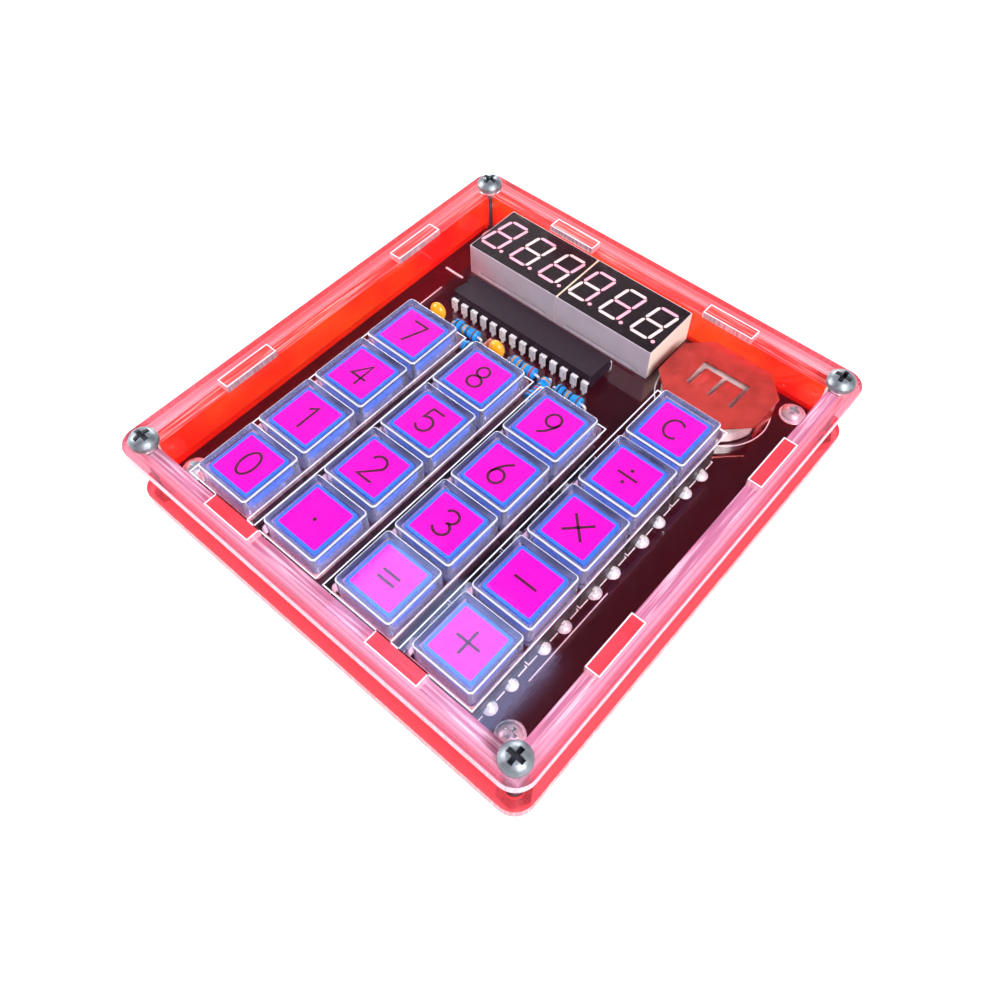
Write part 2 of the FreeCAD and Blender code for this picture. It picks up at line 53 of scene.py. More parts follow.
# ---- Where things are, in millimetres ----------------------------------------------
def box_mm(node):
    low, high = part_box(node)
    return Vector(low) / MM, Vector(high) / MM


def centre_mm(node):
    low, high = box_mm(node)
    return (low + high) / 2


def key_bases():
    return [centre_mm("key_%s_base" % key) for key in KEYS]


BOARD_TOP = box_mm("circuit_board")[1].z
PLATE_LOW, PLATE_HIGH = box_mm("top_plate")
CASE_SCREW_HIGH = box_mm("case_screws")[1]
WALL_HALF_X = box_mm("wall_right")[1].x
WALL_HALF_Y = box_mm("wall_back")[1].y
CASE_SCREW_HEAD = 2.6         # head radius
CASE_SCREW_RECESS = 1.7       # reach of the cross recess from the axis
CASE_SCREW_CROWN = 0.75       # top of the head down to where the recess is all shadow
SCREW_PITCH = 0.5


# ---- Material nodes ------------------------------------------------------------------
MATERIALS = {}                # by the name used in this script
EVEN = (1, 1, 1)


def srgb(red, green, blue):
    """A linear colour from the usual 0-255 values."""
    def linear(value):
        value /= 255
        return value / 12.92 if value <= 0.04045 else ((value + 0.055) / 1.055) ** 2.4
    return (linear(red), linear(green), linear(blue), 1.0)


def scaled(colour, share):
    return tuple(min(1.0, c * share) for c in colour[:3]) + (1.0,)


def paler(colour, share):
    return tuple(c + (1 - c) * share for c in colour[:3]) + (1.0,)


class Nodes:
    """A short way to build one material's node tree."""

    def __init__(self, name):
        self.name = name
        self.material = bpy.data.materials.new(name)
        self.material.use_nodes = True
        self.tree = self.material.node_tree
        self.tree.nodes.clear()
        self.output = self.add("ShaderNodeOutputMaterial")
        coordinates = self.add("ShaderNodeTexCoord")
        self.position, self.normal = coordinates.outputs["Object"], coordinates.outputs["Normal"]

    def add(self, kind, **settings):
        node = self.tree.nodes.new(kind)
        for key, value in settings.items():
            setattr(node, key, value)
        return node

    def link(self, start, end):
        self.tree.links.new(start, end)

    def feed(self, value, socket):
        """Give a socket a plain value or a link."""
        if isinstance(value, bpy.types.NodeSocket):
            self.link(value, socket)
        else:
            socket.default_value = value

    def noise(self, per_mm, detail=3.0, stretch=EVEN, roughness=0.5):
        """Noise with about that many features to the millimetre."""
        mapping = self.add("ShaderNodeMapping")
        mapping.inputs["Scale"].default_value = [s * per_mm / MM for s in stretch]
        self.link(self.position, mapping.inputs["Vector"])
        noise = self.add("ShaderNodeTexNoise")
        noise.inputs["Scale"].default_value = 1.0
        noise.inputs["Detail"].default_value = detail
        noise.inputs["Roughness"].default_value = roughness
        self.link(mapping.outputs[0], noise.inputs["Vector"])
        return noise.outputs["Fac"]

    def ramp(self, value, stops):
        """A colour ramp through (position, colour or grey) stops."""
        ramp = self.add("ShaderNodeValToRGB")
        while len(ramp.color_ramp.elements) < len(stops):
            ramp.color_ramp.elements.new(0.5)
        for element, (place, colour) in zip(ramp.color_ramp.elements, stops):
            element.position = place
            element.color = colour if hasattr(colour, "__len__") else (colour,) * 3 + (1,)
        self.link(value, ramp.inputs["Fac"])
        return ramp.outputs["Color"]

    def bump(self, height, distance_mm, strength=1.0, under=None):
        bump = self.add("ShaderNodeBump")
        bump.inputs["Strength"].default_value = strength
        bump.inputs["Distance"].default_value = distance_mm * MM
        self.link(height, bump.inputs["Height"])
        if under is not None:
            self.link(under, bump.inputs["Normal"])
        return bump.outputs["Normal"]

    def principled(self, **values):
        shader = self.add("ShaderNodeBsdfPrincipled")
        for key, value in values.items():
            self.feed(value, shader.inputs[key.replace("_", " ")])
        return shader.outputs[0]

    def axis(self, vector, letter):
        parts = self.add("ShaderNodeSeparateXYZ")
        self.link(vector, parts.inputs[0])
        return parts.outputs[letter]

    def maths(self, operation, *values):
        """One sum, on plain values or links."""
        node = self.add("ShaderNodeMath", operation=operation)
        for value, socket in zip(values, node.inputs):
            self.feed(value, socket)
        return node.outputs[0]

    def vector_maths(self, operation, *vectors):
        """One sum on vectors that gives a number."""
        node = self.add("ShaderNodeVectorMath", operation=operation)
        for vector, socket in zip(vectors, node.inputs):
            self.feed(vector, socket)
        return node.outputs["Value"]

    def outside(self, letter, half_mm):
        """How far a point is past a distance either side of the middle, in metres."""
        size = self.maths("ABSOLUTE", self.axis(self.position, letter))
        return self.maths("SUBTRACT", size, half_mm * MM)

    def blend_colours(self, share, first, second):
        """first where share is 0 and second where it is 1."""
        mix = self.add("ShaderNodeMix", data_type="RGBA")
        self.link(share, mix.inputs["Factor"])
        self.feed(first, mix.inputs[6])
        self.feed(second, mix.inputs[7])
        return mix.outputs[2]

    def blend_shaders(self, share, first, second):
        mix = self.add("ShaderNodeMixShader")
        for socket, source in zip(mix.inputs, (share, first, second)):
            self.link(source, socket)
        return mix.outputs[0]

    def finish(self, shader):
        self.link(shader, self.output.inputs["Surface"])
        MATERIALS[self.name] = self.material


# ---- Kinds of material -----------------------------------------------------------------
def moulded(name, colour, roughness, grain_mm=0.12, mottle=0.12, coat=0.0, grain_depth=0.006,
            specular=0.5):
    """Moulded or printed plastic: slight mottling, a fine grain and uneven gloss."""
    n = Nodes(name)
    base = n.ramp(n.noise(0.35, 4), [(0.3, scaled(colour, 1 - mottle)),
                                     (0.7, scaled(colour, 1 + mottle / 2))])
    gloss = n.ramp(n.noise(1.1, 3), [(0.3, roughness * 0.8), (0.75, min(1, roughness * 1.25))])
    grain = n.bump(n.noise(1 / grain_mm, 2), grain_depth)
    n.finish(n.principled(Base_Color=base, Roughness=gloss, Normal=grain, Coat_Weight=coat,
                          Coat_Roughness=0.08, Specular_IOR_Level=specular))


def metal(name, colour, roughness, stretch=EVEN, per_mm=6.0, depth=0.004, stain=0.25,
          metallic=1.0):
    """Plated metal: fine working marks, patchy gloss and a little staining."""
    n = Nodes(name)
    base = n.ramp(n.noise(0.5, 5), [(0.25, scaled(colour, 1 - stain)), (0.65, colour)])
    gloss = n.ramp(n.noise(1.6, 4), [(0.25, roughness * 0.6), (0.8, roughness * 1.5)])
    marks = n.bump(n.noise(per_mm, 3, stretch), depth)
    n.finish(n.principled(Base_Color=base, Metallic=metallic, Roughness=gloss, Normal=marks))


LEVEL_SLOPE = 0.5             # past this upright share of its normal, a face is a flat one
CORNER_SLOPE, CORNER_SPREAD = 0.6, 0.36   # and around this share it is a rounded corner
CORNER_GLINT = (0.86, 0.88, 0.97, 1)
RIM_LINES_PER_MM = 1.6
RIM_DRIFT = (6.0, -6.0, 0)    # share of the way from back left to front right, to the metre
# Painted light of the streaks along the top plate's rim.
RIM_STREAK_LIGHT = ((0.78, 0.1, 0.11, 1), (0.6, 0.3, 0.42, 1))    # back left, front right


def frosted_edges(n, surface, level, bloom, share, on_flats, streaks):
    """Frost of the colour bloom on the cut faces of a surface, drawn out in streaks."""
    edge = n.maths("GREATER_THAN" if on_flats else "LESS_THAN", level, LEVEL_SLOPE)
    grain = [streak * flat for streak, flat in zip(streaks, (1, 1, 0.3))]
    patchy = n.ramp(n.noise(0.9, 4, grain), [(0.3, share * 0.6), (0.7, share)])
    frosted = n.principled(Base_Color=bloom, Roughness=0.35)
    return n.blend_shaders(n.maths("MULTIPLY", edge, patchy), surface, frosted)


def bright_corners(n, surface, level, strength):
    """Painted highlights on rounded corners, for the light they catch."""
    rounded = n.maths("COMPARE", level, CORNER_SLOPE, CORNER_SPREAD)
    painted_glint = n.principled(Base_Color=CORNER_GLINT, Roughness=0.2)
    return n.blend_shaders(n.maths("MULTIPLY", rounded, strength), surface, painted_glint)


def rim_places(n):
    """Where a point is in the top plate's rim: how far past the walls under the plate,
    whether past them at all, and how far from the back left towards the front right."""
    reach = n.maths("MAXIMUM", n.outside("X", WALL_HALF_X), n.outside("Y", WALL_HALF_Y))
    past = n.maths("GREATER_THAN", reach, 0)
    drift = n.maths("ADD", n.vector_maths("DOT_PRODUCT", n.position, RIM_DRIFT), 0.5)
    return reach, past, drift


def rim_streaks(n, surface, reach, past, drift):
    """Painted streaks of light that run along the rim."""
    lines = n.add("ShaderNodeTexNoise", noise_dimensions="1D")
    n.link(n.maths("DIVIDE", reach, MM), lines.inputs["W"])
    lines.inputs["Scale"].default_value = RIM_LINES_PER_MM
    lit = n.maths("MULTIPLY", past, n.ramp(lines.outputs["Fac"], [(0.42, 0.05), (0.6, 0.6)]))
    streak_light = n.ramp(drift, [(0.3, RIM_STREAK_LIGHT[0]), (0.7, RIM_STREAK_LIGHT[1])])
    return n.blend_shaders(lit, surface, n.principled(Base_Color=streak_light, Roughness=0.3))


def lamp_pane(n, surface, shade):
    """Lets lamps shine through the plastic as through a tinted pane."""
    pane = n.add("ShaderNodeBsdfTransparent")
    pane.inputs["Color"].default_value = shade
    rays = n.add("ShaderNodeLightPath").outputs
    lamp = n.maths("MAXIMUM", rays["Is Shadow Ray"], rays["Is Diffuse Ray"])
    return n.blend_shaders(lamp, surface, pane.outputs[0])


def clear_plastic(name, colour, roughness, shade, frost, frost_share, second=None, scratch=0.35,
                  clearness=1.0, frost_on_flats=False, streaks=EVEN, upper=None, rim_glow=None,
                  corners=None):
    """Cast plastic that bends light, with hair scratches and handling haze. shade is the tint
    of lamp light that comes through. The cut faces are frosted: the upright ones, or the flat
    ones of a piece that stands on edge. second is a colour that drifts in along the piece.
    upper is a height in millimetres, and the colour and the frost above it. rim_glow is the
    plate's painted glow past its walls, the red walls' light drawn into its colour, at the back
    left and at the front right, with painted streaks of light along the rim. corners is how
    strongly the painted highlight on rounded corners shows."""
    n = Nodes(name)
    tint = n.ramp(n.noise(0.05, 2), [(0.35, scaled(colour, 0.97)), (0.65, second or colour)])
    bloom = n.ramp(n.noise(1.3, 3, streaks), [(0.35, scaled(frost, 0.72)), (0.5, frost),
                                              (0.7, paler(frost, 0.55))])
    if upper:
        height, upper_colour, upper_frost = upper
        above = n.maths("GREATER_THAN", n.axis(n.position, "Z"), height * MM)
        tint = n.blend_colours(above, tint, upper_colour)
        bloom = n.blend_colours(above, bloom, upper_frost)
    if rim_glow:
        reach, past, drift = rim_places(n)
        # Painted glow: past the walls the plate is tinted with the red walls' light.
        glow = n.ramp(drift, [(0.3, rim_glow[0]), (0.7, rim_glow[1])])
        tint = n.blend_colours(past, tint, glow)
    haze = n.ramp(n.noise(0.25, 5), [(0.35, roughness), (0.8, roughness * 2.2)])
    scratches = n.bump(n.noise(1.2, 4, (1, 9, 1)), 0.002, scratch)
    waves = n.bump(n.noise(0.06, 2), 0.02, scratch, scratches)
    surface = n.principled(Base_Color=tint, Roughness=haze, IOR=1.49, Normal=waves,
                           Transmission_Weight=clearness)
    level = n.maths("ABSOLUTE", n.axis(n.normal, "Z"))
    surface = frosted_edges(n, surface, level, bloom, frost_share, frost_on_flats, streaks)
    if corners:
        surface = bright_corners(n, surface, level, corners)
    if rim_glow:
        surface = rim_streaks(n, surface, reach, past, drift)
    n.finish(lamp_pane(n, surface, shade))


def display_plastic(name, front, ends):
    """Grey moulded cases whose uncoated end faces are cream."""
    n = Nodes(name)
    base = n.ramp(n.noise(0.35, 4), [(0.3, scaled(front, 0.88)), (0.7, front)])
    sideways = n.maths("GREATER_THAN", n.maths("ABSOLUTE", n.axis(n.normal, "X")), 0.7)
    gloss = n.ramp(n.noise(1.1, 3), [(0.3, 0.34), (0.75, 0.5)])
    n.finish(n.principled(Base_Color=n.blend_colours(sideways, base, ends), Roughness=gloss,
                          Normal=n.bump(n.noise(8.0, 2), 0.006)))


def screw_metal(name, colour):
    """Plated case screws, with painted shade in the cross recess and a paler shank with painted
    highlights on the thread.
    """
    n = Nodes(name)
    height = n.axis(n.position, "Z")
    from_axis = n.add("ShaderNodeCombineXYZ")
    n.link(n.outside("X", CASE_SCREW_HIGH.x - CASE_SCREW_HEAD), from_axis.inputs[0])
    n.link(n.outside("Y", CASE_SCREW_HIGH.y - CASE_SCREW_HEAD), from_axis.inputs[1])
    near = n.maths("LESS_THAN", n.vector_maths("LENGTH", from_axis.outputs[0]),
                   CASE_SCREW_RECESS * MM)
    deep = n.maths("LESS_THAN", height, (CASE_SCREW_HIGH.z - CASE_SCREW_CROWN) * MM)
    below = n.maths("LESS_THAN", height, PLATE_HIGH.z * MM)
    head = n.ramp(n.noise(0.9, 5), [(0.25, scaled(colour, 0.6)), (0.65, colour)])
    # Painted highlight: under the top plate the shank is drawn paler, with lighter stripes on the
    # thread's turns.
    turns = n.maths("SINE", n.maths("MULTIPLY", height, 2 * math.pi / (SCREW_PITCH * MM)))
    thread_highlight = n.ramp(turns, [(0.1, colour), (0.7, paler(colour, 0.75))])
    # Painted shade: the cross recess near the axis and below the crown is drawn near black.
    base = n.blend_colours(n.maths("MULTIPLY", near, deep), n.blend_colours(below, head, thread_highlight),
                           (0.06, 0.065, 0.075, 1))
    gloss = n.ramp(n.noise(1.6, 4), [(0.25, 0.34), (0.8, 0.55)])
    shine = n.ramp(below, [(0.4, 0.65), (0.6, 0.2)])
    n.finish(n.principled(Base_Color=base, Metallic=shine, Roughness=gloss,
                          Normal=n.bump(n.noise(7.0, 3), 0.006)))


# ---- The calculator's materials ----------------------------------------------------------
ALONG_X = (0.06, 1.6, 1)      # frost stretched along a wall that runs that way
ALONG_Y = (1.6, 0.06, 1)
CUT_LINES = (2.2, 2.2, 0.12)  # fine upright lines in a plate's cut edge
ALONG_GRAIN = (1, 14, 1)      # brushed metal


def build_acrylics():
    clear_plastic("clear_acrylic", (0.99, 0.965, 0.98, 1), 0.02, (1.0, 0.97, 0.98, 1),
                  srgb(240, 184, 198), 0.6, streaks=CUT_LINES,
                  rim_glow=((1.0, 0.12, 0.15, 1), (0.82, 0.42, 0.54, 1)))
    for name, streaks in (("red_back", ALONG_X), ("red_left", ALONG_Y)):
        clear_plastic(name, (1.0, 0.016, 0.01, 1), 0.04, (1.0, 0.35, 0.38, 1),
                      srgb(244, 74, 84), 0.6, (1.0, 0.12, 0.014, 1), clearness=0.7,
                      frost_on_flats=True, streaks=streaks)
    # The front and right walls are the same red plastic as the back and left ones, drawn paler and
    # pinker as painted light. Their tabs keep the saturated red where they pass through the top
    # plate.
    tabs = (PLATE_LOW.z + 0.2, (0.95, 0.1, 0.12, 1), srgb(240, 52, 66))
    for name, streaks in (("red_front_painted_pale", ALONG_X), ("red_right_painted_pale", ALONG_Y)):
        clear_plastic(name, (0.97, 0.6, 0.74, 1), 0.04, (1.0, 0.6, 0.65, 1),
                      srgb(180, 106, 138), 0.85, (0.9, 0.58, 0.84, 1), clearness=0.85,
                      frost_on_flats=True, streaks=streaks, upper=tabs)
    clear_plastic("base_acrylic", (1.0, 0.11, 0.14, 1), 0.05, (1.0, 0.4, 0.45, 1),
                  srgb(255, 110, 130), 0.7, clearness=0.72, streaks=CUT_LINES)


def build_key_materials():
    clear_plastic("key_clear", (0.96, 0.95, 1.0, 1), 0.03, (0.98, 0.97, 1.0, 1),
                  srgb(206, 210, 245), 0.07, scratch=0.5, corners=0.55)
    clear_plastic("key_base", (0.66, 0.7, 0.96, 1), 0.08, (0.9, 0.9, 1.0, 1),
                  srgb(120, 140, 225), 0.12, clearness=0.92)
    moulded("key_blue", srgb(44, 112, 235), 0.3, coat=0.3)
    moulded("card_magenta", srgb(232, 4, 172), 0.35, grain_mm=0.25, mottle=0.01, specular=0.15)
    moulded("legend_ink", srgb(66, 2, 46), 0.5, specular=0.2)


def build_hardware_materials():
    screw_metal("zinc_steel", (0.24, 0.27, 0.3, 1))
    metal("nut_steel", (0.42, 0.44, 0.47, 1), 0.36, metallic=0.7)
    # The board screws' cyan tint is painted against the red light that reaches them from the walls.
    metal("screw_bright", (0.62, 0.86, 0.88, 1), 0.34, metallic=0.3, stain=0.3)
    metal("nickel_plate", (0.9, 0.89, 0.87, 1), 0.2, ALONG_GRAIN, 3.0, metallic=0.5)
    # The battery clip is plated metal; its red is a painted reflection of the red walls.
    metal("clip_red_reflection", (0.66, 0.07, 0.055, 1), 0.2, ALONG_GRAIN, 1.2, depth=0.0002,
          metallic=0.45, stain=0.3)
    moulded("nylon_white", srgb(232, 230, 222), 0.5)
    # Painted highlight: the pale lines round the top plate's openings.
    moulded("highlight_white", srgb(214, 216, 228), 0.3)


def build_board_materials():
    # The board is black gloss: its darkness is its own, its maroon tint a painted reflection of the
    # red walls.
    moulded("board_black", srgb(56, 2, 14), 0.08, grain_mm=0.5, mottle=0.03, coat=1.0,
            grain_depth=0.001)
    moulded("silkscreen_white", srgb(232, 232, 238), 0.6)
    metal("solder", (0.76, 0.88, 0.92, 1), 0.28, depth=0.01, metallic=0.3, stain=0.15)
    metal("tin_plate", (0.93, 0.94, 0.95, 1), 0.3, metallic=0.3)
    moulded("switch_black", srgb(28, 27, 30), 0.45)
    # Painted shade: the tin switch cover plates are drawn near black for the dark gaps between the
    # keys.
    metal("switch_plate_shade", (0.06, 0.015, 0.03, 1), 0.4, metallic=0.4)
    moulded("chip_black", srgb(24, 12, 24), 0.5, grain_mm=0.08, grain_depth=0.004, specular=0.15)
    moulded("capacitor_orange", srgb(250, 172, 18), 0.28, coat=0.5)
    moulded("diode_glass", srgb(196, 118, 96), 0.12, coat=0.8)
    moulded("resistor_blue", srgb(20, 145, 225), 0.25, coat=0.5)
    for name, colour in (("band_brown", (92, 46, 24)), ("band_black", (20, 18, 20)),
                         ("band_red", (190, 30, 24)), ("band_gold", (190, 140, 50))):
        moulded(name, srgb(*colour), 0.3)


def build_display_materials():
    display_plastic("display_grey", srgb(188, 182, 192), srgb(236, 230, 212))
    moulded("display_face", srgb(10, 4, 8), 0.35, mottle=0.05, grain_depth=0.001, specular=0.12)
    moulded("module_seam", srgb(220, 205, 170), 0.4)
    moulded("segment_pale", srgb(228, 205, 202), 0.4)
    moulded("segment_pink", srgb(255, 170, 190), 0.4)


build_acrylics()
build_key_materials()
build_hardware_materials()
build_board_materials()
build_display_materials()

# Nodes that look different from the rest of their record slot.
NODE_MATERIALS = {"wall_front": "red_front_painted_pale", "wall_right": "red_right_painted_pale",
                  "wall_back": "red_back", "wall_left": "red_left",
                  "bottom_plate": "base_acrylic", "battery_clip": "clip_red_reflection",
                  "board_screws": "screw_bright", "switch_cover_plates": "switch_plate_shade",
                  "case_nuts": "nut_steel", "board_nuts": "nut_steel"}
NODE_MATERIALS.update(("key_%s_base" % key, "key_base") for key in KEYS)

for row in frame["record"]["subparts"]:
    node = frame["nodes"][row["node"]]
    look = NODE_MATERIALS.get(row["node"], row["material_slot"])
    node.data.materials.clear()
    node.data.materials.append(MATERIALS[look])


# ---- Mesh helpers, in millimetres ----------------------------------------------------
CORNER_STEPS = 5              # to a slab's rounded corner
SUNK = 0.01                   # how deep print and the painted highlight lines are set into what they lie on
CAP_STEPS = (0.5, 0.85)       # places along a stroke's round end


class Piece:
    """One new piece of the calculator, built up in a bmesh."""

    def __init__(self, name, body, slot, *materials):
        self.name, self.body, self.slot, self.materials = name, body, slot, materials
        self.bm = bmesh.new()

    def add_faces(self, rings, closed_ends=True, material=0):
        """A solid through equal rings of points, capped at both ends."""
        made = [[self.bm.verts.new(p) for p in ring] for ring in rings]
        count = len(made[0])
        faces = [self.bm.faces.new((a[i], a[(i + 1) % count], b[(i + 1) % count], b[i]))
                 for a, b in zip(made, made[1:]) for i in range(count)]
        if closed_ends:
            faces.append(self.bm.faces.new(made[0][::-1]))
            faces.append(self.bm.faces.new(made[-1]))
        for face in faces:
            face.material_index = material

    def slab(self, x, y, size_x, size_y, low, high, corner, edge, material=0):
        """A rounded rectangle with its top edge eased."""
        def outline(inset, z):
            radius = max(corner - inset, 0.01)
            points = []
            for turn, (sx, sy) in enumerate(((1, 1), (-1, 1), (-1, -1), (1, -1))):
                cx = x + sx * (size_x / 2 - inset - radius)
                cy = y + sy * (size_y / 2 - inset - radius)
                for step in range(CORNER_STEPS + 1):
                    angle = math.pi / 2 * (turn + step / CORNER_STEPS)
                    points.append((cx + radius * math.cos(angle), cy + radius * math.sin(angle), z))
            return points
        self.add_faces([outline(0, low), outline(0, high - edge),
                        outline(edge * 0.3, high - edge * 0.3), outline(edge, high)],
                       material=material)

    def lathe(self, x, y, profile, sides=24, material=0):
        """A round solid about an upright axis, through (radius, z) points."""
        angles = [2 * math.pi * i / sides for i in range(sides)]
        rings = [[(x + r * math.cos(a), y + r * math.sin(a), z) for a in angles]
                 for r, z in profile]
        self.add_faces(rings, material=material)

    def stroke(self, points, width, low, high, closed=False, material=0):
        """A flat line of even width with round ends and mitred corners."""
        points = [Vector(p) for p in points]
        half = width / 2
        sides = []
        count = len(points)
        for i, point in enumerate(points):
            before = points[i - 1] if i or closed else None
            after = points[(i + 1) % count] if i < count - 1 or closed else None
            ways = [v.normalized() for v in ((point - before) if before is not None else None,
                                             (after - point) if after is not None else None)
                    if v is not None]
            along = sum(ways, Vector((0, 0))).normalized()
            across = Vector((-along.y, along.x))
            reach = half / max(0.5, across.dot(Vector((-ways[0].y, ways[0].x))))
            sides.append((point + across * reach, point - across * reach))
        if closed:
            sides.append(sides[0])
        if not closed:
            caps = []
            for end, outward in ((0, points[0] - points[1]), (1, points[-1] - points[-2])):
                outward.normalize()
                across = Vector((-outward.y, outward.x))
                middle = points[-end]
                cap = []
                for step in CAP_STEPS:
                    wide = half * math.sqrt(1 - step * step)
                    pair = (middle + outward * half * step + across * wide,
                            middle + outward * half * step - across * wide)
                    cap.append(pair if end else pair[::-1])
                caps.append(cap)
            sides = caps[0][::-1] + sides + caps[1]
        rings = [[(*left, low), (*right, low), (*right, high), (*left, high)]
                 for left, right in sides]
        self.add_faces(rings, closed_ends=not closed, material=material)

    def dot(self, x, y, radius, low, high, material=0):
        self.lathe(x, y, [(radius, low), (radius, (low + high) / 2), (radius * 0.94, high)], 16,
                   material)

    def done(self, smooth=False):
        bmesh.ops.remove_doubles(self.bm, verts=self.bm.verts, dist=1e-5)
        bmesh.ops.recalc_face_normals(self.bm, faces=self.bm.faces)
        bmesh.ops.scale(self.bm, vec=(MM, MM, MM), verts=self.bm.verts)
        mesh = bpy.data.meshes.new(self.name)
        self.bm.to_mesh(mesh)
        self.bm.free()
        for material in self.materials:
            mesh.materials.append(MATERIALS[material])
        piece = bpy.data.objects.new(self.name, mesh)
        bpy.context.scene.collection.objects.link(piece)
        if smooth:
            mesh.shade_smooth()
        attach(piece, self.body)


def arc(x, y, radius_x, radius_y, start, end, steps=14):
    """Points along an ellipse, between two angles in degrees."""
    angles = [math.radians(start + (end - start) * i / steps) for i in range(steps + 1)]
    return [(x + radius_x * math.cos(a), y + radius_y * math.sin(a)) for a in angles]


def ring(x, y, radius_x, radius_y, steps=20):
    return arc(x, y, radius_x, radius_y, 0, 360 - 360 / steps, steps - 1)


# ---- Key cards and their legends -------------------------------------------------------
# Each legend is a list of (points, closed) strokes, one unit high about its centre.
SIX = [(ring(0, -0.21, 0.27, 0.29), True),
       ([(0.17, 0.5), (-0.02, 0.33), (-0.17, 0.1), (-0.26, -0.16)], False)]
LEGENDS = {
    "0": [(ring(0, 0, 0.3, 0.5), True)],
    "1": [([(-0.16, 0.3), (0.06, 0.5), (0.06, -0.5)], False)],
    "2": [(arc(0, 0.23, 0.29, 0.27, 165, -35) + [(-0.3, -0.5), (0.31, -0.5)], False)],
    "3": [(arc(-0.02, 0.25, 0.27, 0.25, 150, -80) + arc(-0.02, -0.24, 0.3, 0.26, 80, -150),
           False)],
    "4": [([(0.14, -0.5), (0.14, 0.5), (-0.31, -0.18), (0.33, -0.18)], False)],
    "5": [([(0.27, 0.5), (-0.2, 0.5), (-0.25, 0.05)] + arc(-0.02, -0.18, 0.3, 0.32, 125, -145),
           False)],
    "6": SIX,
    "7": [([(-0.3, 0.5), (0.31, 0.5), (-0.06, -0.5)], False)],
    "8": [(ring(0, 0.26, 0.23, 0.24), True), (ring(0, -0.25, 0.28, 0.25), True)],
    "9": [([(-x, -y) for x, y in points], closed) for points, closed in SIX],
    "equals": [([(-0.32, 0.14), (0.32, 0.14)], False), ([(-0.32, -0.14), (0.32, -0.14)], False)],
    "plus": [([(-0.42, 0), (0.42, 0)], False), ([(0, -0.42), (0, 0.42)], False)],
    "minus": [([(-0.4, 0), (0.4, 0)], False)],
    "times": [([(-0.36, -0.36), (0.36, 0.36)], False), ([(-0.36, 0.36), (0.36, -0.36)], False)],
    "divide": [([(-0.36, 0), (0.36, 0)], False)],
    "clear": [(arc(0.04, 0, 0.34, 0.42, 50, 310, 20), False)],
    "point": [],
}
LEGEND_DOTS = {"point": [(0, -0.05)], "divide": [(0, 0.28), (0, -0.28)]}
LEGEND_HEIGHT = 5.0
LEGEND_WIDTH = 0.5
LEGEND_DOT_RADIUS = 0.38
CARD_SIZE = 8.5
CARD_CORNER = 0.25
LINER_SIZE = 9.5
LINER_CORNER = 0.5
LINER_MARGIN = 0.03           # the blue liner wraps the top of the key base
LINER_HEIGHT = 2.2
CARD_LIFT = 0.015
CARD_THICKNESS = 0.075
INK_THICKNESS = 0.02
EASED = 0.02                  # how far the edges of cards, liners and faces are eased


def build_card(key):
    centre = centre_mm("key_%s_base" % key)
    low = box_mm("key_%s_base" % key)[1].z + CARD_LIFT
    high = low + CARD_THICKNESS
    card = Piece("card_" + key, "key_" + key, "key_blue", "card_magenta", "legend_ink", "key_blue")
    size = LINER_SIZE + 2 * LINER_MARGIN
    card.slab(centre.x, centre.y, size, size, low - LINER_HEIGHT, low + EASED, LINER_CORNER,
              EASED, 2)
    card.slab(centre.x, centre.y, CARD_SIZE, CARD_SIZE, low, high, CARD_CORNER, EASED)
    for points, closed in LEGENDS[key]:
        placed = [(centre.x + x * LEGEND_HEIGHT, centre.y + y * LEGEND_HEIGHT) for x, y in points]
        card.stroke(placed, LEGEND_WIDTH, high - SUNK, high + INK_THICKNESS, closed, 1)
    for x, y in LEGEND_DOTS.get(key, ()):
        card.dot(centre.x + x * LEGEND_HEIGHT, centre.y + y * LEGEND_HEIGHT, LEGEND_DOT_RADIUS,
                 high - SUNK, high + INK_THICKNESS, 1)
    card.done()


for key in KEYS:
    build_card(key)


# ---- Display faces and digits -----------------------------------------------------------
DIGIT_HEIGHT = 9.1            # outside the end segments
DIGIT_WIDTH = 4.9
DIGIT_PITCH = 7.5
DIGIT_SLANT = math.tan(math.radians(9))
SEGMENT_WIDTH = 0.66
SEGMENT_GAP = 0.16
SEGMENT_LOOKS = (1, 2, 2)     # one pale segment to two pink ones
POINT_RADIUS = 0.42
POINT_RIGHT = 1.15            # of the digit's lower right corner
POINT_UP = 0.1
DIGITS_LEFT = 0.3             # of the module's middle
FACE_MARGIN_X = 0.24          # both sides together
FACE_MARGIN_Y = 0.3
FACE_CORNER = 0.3
FACE_SUNK = 0.05
FACE_PROUD = 0.03
SEGMENT_PROUD = 0.02
SEAM_WIDTH = 0.3
SEAM_DEPTH = 0.3
SEAM_END = 0.3                # short of the modules' front and back


def segment_outline(start, end):
    """A long six-sided bar from start to end, pointed at both ends."""
    start, end = Vector(start), Vector(end)
    along = (end - start).normalized()
    across = Vector((-along.y, along.x)) * SEGMENT_WIDTH / 2
    tip = SEGMENT_WIDTH / 2
    start, end = start + along * SEGMENT_GAP, end - along * SEGMENT_GAP
    return [start, start + along * tip - across, end - along * tip - across, end,
            end - along * tip + across, start + along * tip + across]


